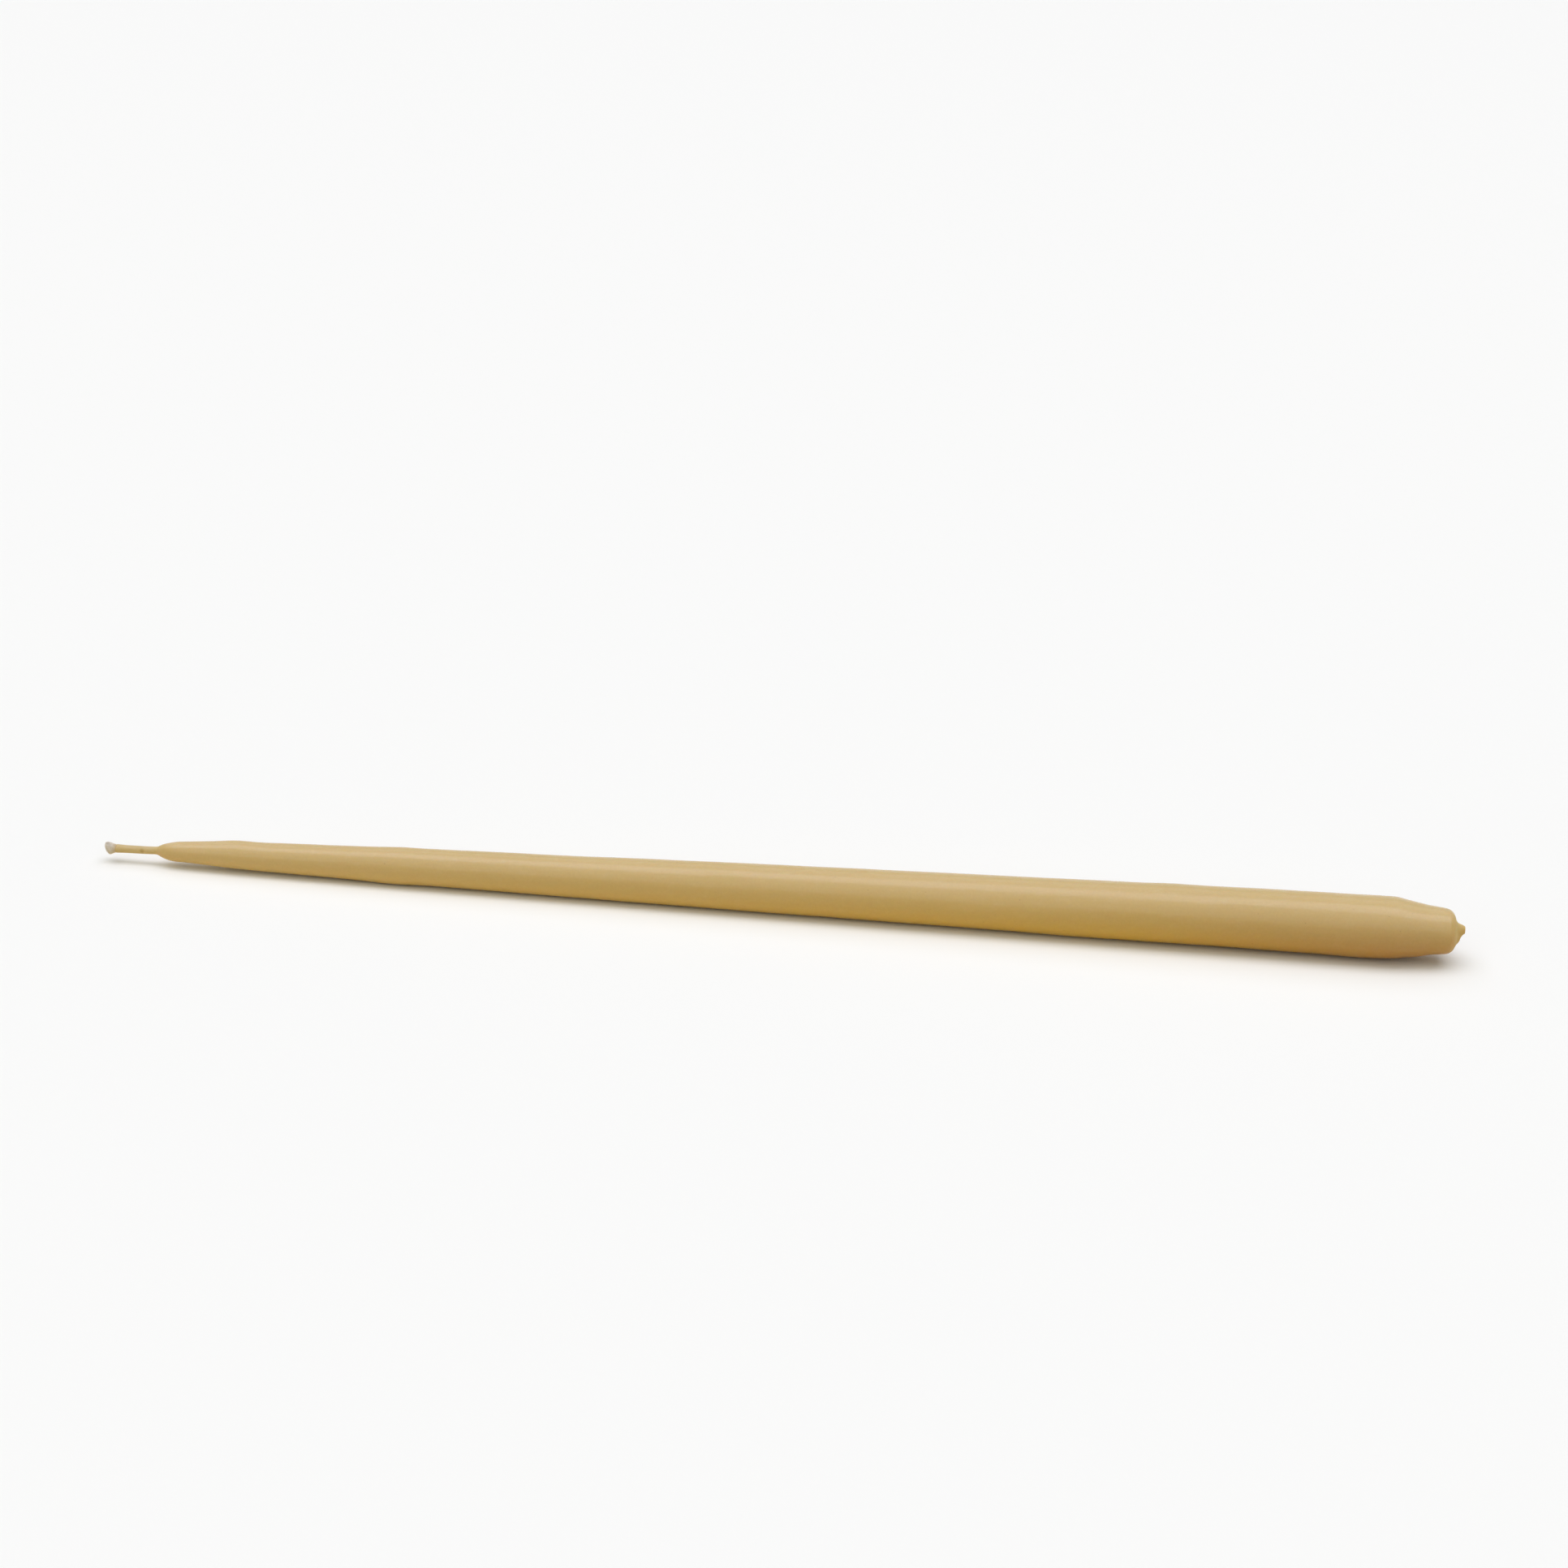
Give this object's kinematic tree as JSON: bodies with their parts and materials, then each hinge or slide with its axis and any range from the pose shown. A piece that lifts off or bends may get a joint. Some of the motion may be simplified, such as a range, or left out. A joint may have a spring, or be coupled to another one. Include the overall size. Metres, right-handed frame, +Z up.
{
  "type": "taper candle",
  "caption": "Hand-dipped taper candle: a long round wax taper with a coned foot for a candle holder, and a wax-coated wick that ends in a frayed cotton tip.",
  "frame": {"origin": "on the candle's axis, at the lower edge of the round land that a holder grips, where the cone of the foot starts", "axes": "+X along the candle's axis, out of its foot, so the wick points along -X; +Z up as the candle lies on its side, with the longest side of the slanted wick tip up"},
  "size_m": [0.4804, 0.0214, 0.0214],
  "materials": {
    "wax": "satin, slightly translucent wax",
    "cotton": "bare braided cotton, frayed at its end"
  },
  "bodies": {
    "root": {"wax_body": "wax", "wick": "cotton"}
  },
  "joints": []
}
